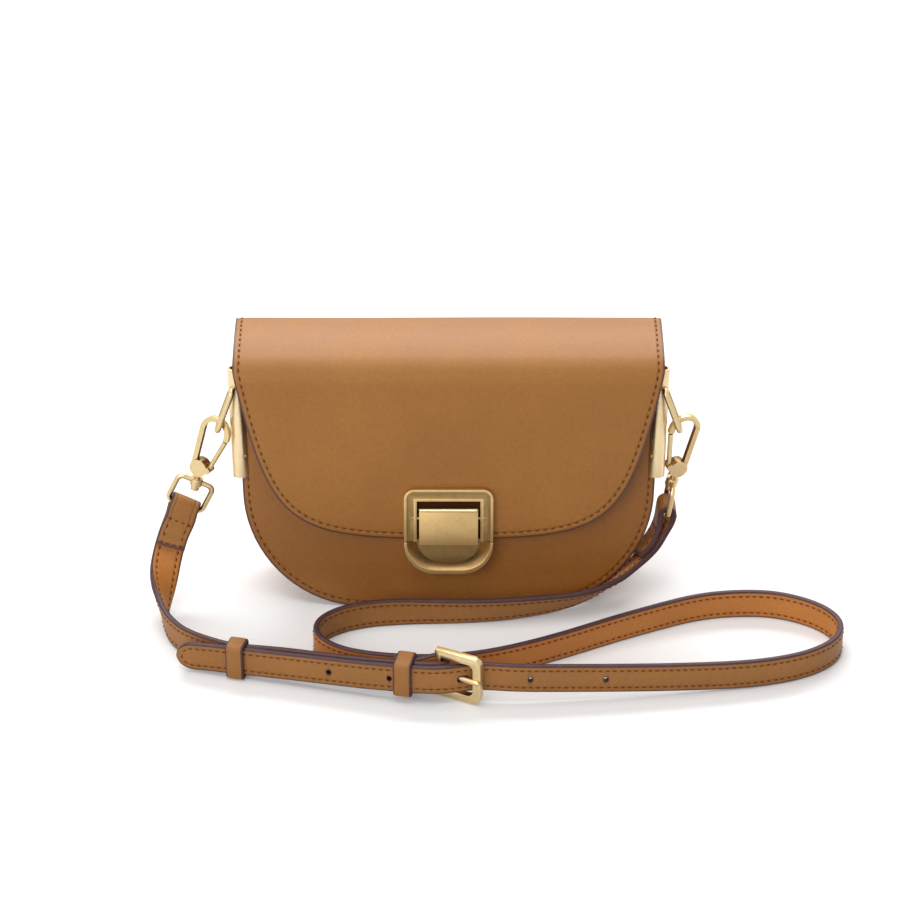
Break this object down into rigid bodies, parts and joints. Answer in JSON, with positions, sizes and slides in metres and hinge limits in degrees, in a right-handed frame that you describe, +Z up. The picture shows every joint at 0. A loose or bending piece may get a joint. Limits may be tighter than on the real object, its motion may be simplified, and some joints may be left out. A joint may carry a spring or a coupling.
{
  "type": "saddle handbag",
  "caption": "Small saddle handbag with a curved flap, a press clasp, hinged side rings and a clip-on shoulder strap with a buckle and keepers.",
  "frame": {"origin": "on the floor, under the middle of the closed bag's width and depth", "axes": "+X to the right of the front, +Y to the back, +Z up"},
  "size_m": [0.3418, 0.1438, 0.1356],
  "materials": {
    "tan_leather": "smooth semi-matt",
    "flap_lining": "smooth",
    "strap_leather": "smooth semi-matt",
    "lining_cloth": "woven",
    "base_board": "fibre board",
    "brass": "brushed satin",
    "steel": "satin"
  },
  "bodies": {
    "bag": {"back_panel": "tan_leather", "front_panel": "tan_leather", "gusset": "tan_leather", "front_lining": "lining_cloth", "back_lining": "lining_cloth", "gusset_lining": "lining_cloth", "top_facing": "tan_leather", "slip_pocket": "lining_cloth", "base_board": "base_board", "catch_plate": "brass", "catch_backing": "steel", "catch_magnet": "steel", "catch_screws": "steel", "clip_left": "brass", "clip_right": "brass", "clip_rivets": "brass", "strap_long": "strap_leather", "strap_short": "strap_leather", "buckle_frame": "brass", "fixed_keeper": "tan_leather"},
    "flap": {"flap_leather": "tan_leather", "flap_lining": "flap_lining", "clasp_frame": "brass", "clasp_backing": "steel", "clasp_screws": "steel", "lever_pin": "steel", "lever_spring": "steel"},
    "lever": {"clasp_lever": "brass"},
    "ring_left": {"ring_left": "brass"},
    "ring_right": {"ring_right": "brass"},
    "eye_left": {"eye_left": "brass"},
    "eye_right": {"eye_right": "brass"},
    "hook_left": {"hook_left": "brass", "gate_pin_left": "steel"},
    "hook_right": {"hook_right": "brass", "gate_pin_right": "steel"},
    "gate_left": {"gate_left": "brass"},
    "gate_right": {"gate_right": "brass"},
    "prong": {"buckle_prong": "brass"},
    "loose_keeper": {"loose_keeper": "tan_leather"}
  },
  "joints": [
    {"name": "flap_hinge", "type": "hinge", "parent": "bag", "child": "flap", "pos_m": [0, 0.02954, 0.13339], "axis": [-1, 0, 0], "range_deg": [0, 130]},
    {"name": "lever_press", "type": "hinge", "parent": "flap", "child": "lever", "pos_m": [0, -0.0227, 0.05163], "axis": [-1, 0, 0], "range_deg": [0, 18], "stiffness_Nm_per_rad": 0.02, "springref_deg": -14.32},
    {"name": "ring_left_swing", "type": "hinge", "parent": "bag", "child": "ring_left", "pos_m": [-0.10567, 0.00031, 0.11295], "axis": [0, 0.989, -0.1478], "range_deg": [-2, 3]},
    {"name": "ring_right_swing", "type": "hinge", "parent": "bag", "child": "ring_right", "pos_m": [0.10567, 0.00031, 0.11295], "axis": [0, -0.989, 0.1478], "range_deg": [-0.5, 3]},
    {"name": "eye_left_tilt", "type": "hinge", "parent": "bag", "child": "eye_left", "pos_m": [-0.13219, -0.00271, 0.04725], "axis": [0.8988, 0, -0.4384], "range_deg": [-1, 0.7]},
    {"name": "eye_right_tilt", "type": "hinge", "parent": "bag", "child": "eye_right", "pos_m": [0.10905, -0.00191, 0.04523], "axis": [0, 1, 0], "range_deg": [-0.4, 0.3]},
    {"name": "hook_left_swivel", "type": "hinge", "parent": "eye_left", "child": "hook_left", "pos_m": [-0.12535, -0.00271, 0.06127], "axis": [0.2504, 0, 0.9681], "range_deg": [-3, 3]},
    {"name": "hook_right_swivel", "type": "hinge", "parent": "eye_right", "child": "hook_right", "pos_m": [0.11111, -0.00191, 0.06069], "axis": [0.2588, 0, 0.9659], "range_deg": [-3, 3]},
    {"name": "gate_left_open", "type": "hinge", "parent": "hook_left", "child": "gate_left", "pos_m": [-0.11887, -0.00482, 0.0691], "axis": [-0.4244, -0.8988, 0.1098], "range_deg": [0, 22], "stiffness_Nm_per_rad": 0.01, "springref_deg": -17.19},
    {"name": "gate_right_open", "type": "hinge", "parent": "hook_right", "child": "gate_right", "pos_m": [0.10914, -0.00355, 0.07075], "axis": [-0.3304, 0.9397, 0.0885], "range_deg": [0, 22], "stiffness_Nm_per_rad": 0.01, "springref_deg": -17.19},
    {"name": "prong_lift", "type": "hinge", "parent": "bag", "child": "prong", "pos_m": [-0.004, -0.10011, 0.0134], "axis": [0, 0, -1], "range_deg": [0, 3]},
    {"name": "keeper_slide", "type": "slide", "parent": "bag", "child": "loose_keeper", "axis": [0.9689, -0.2452, 0.0345], "range_m": [0, 0.03]}
  ]
}
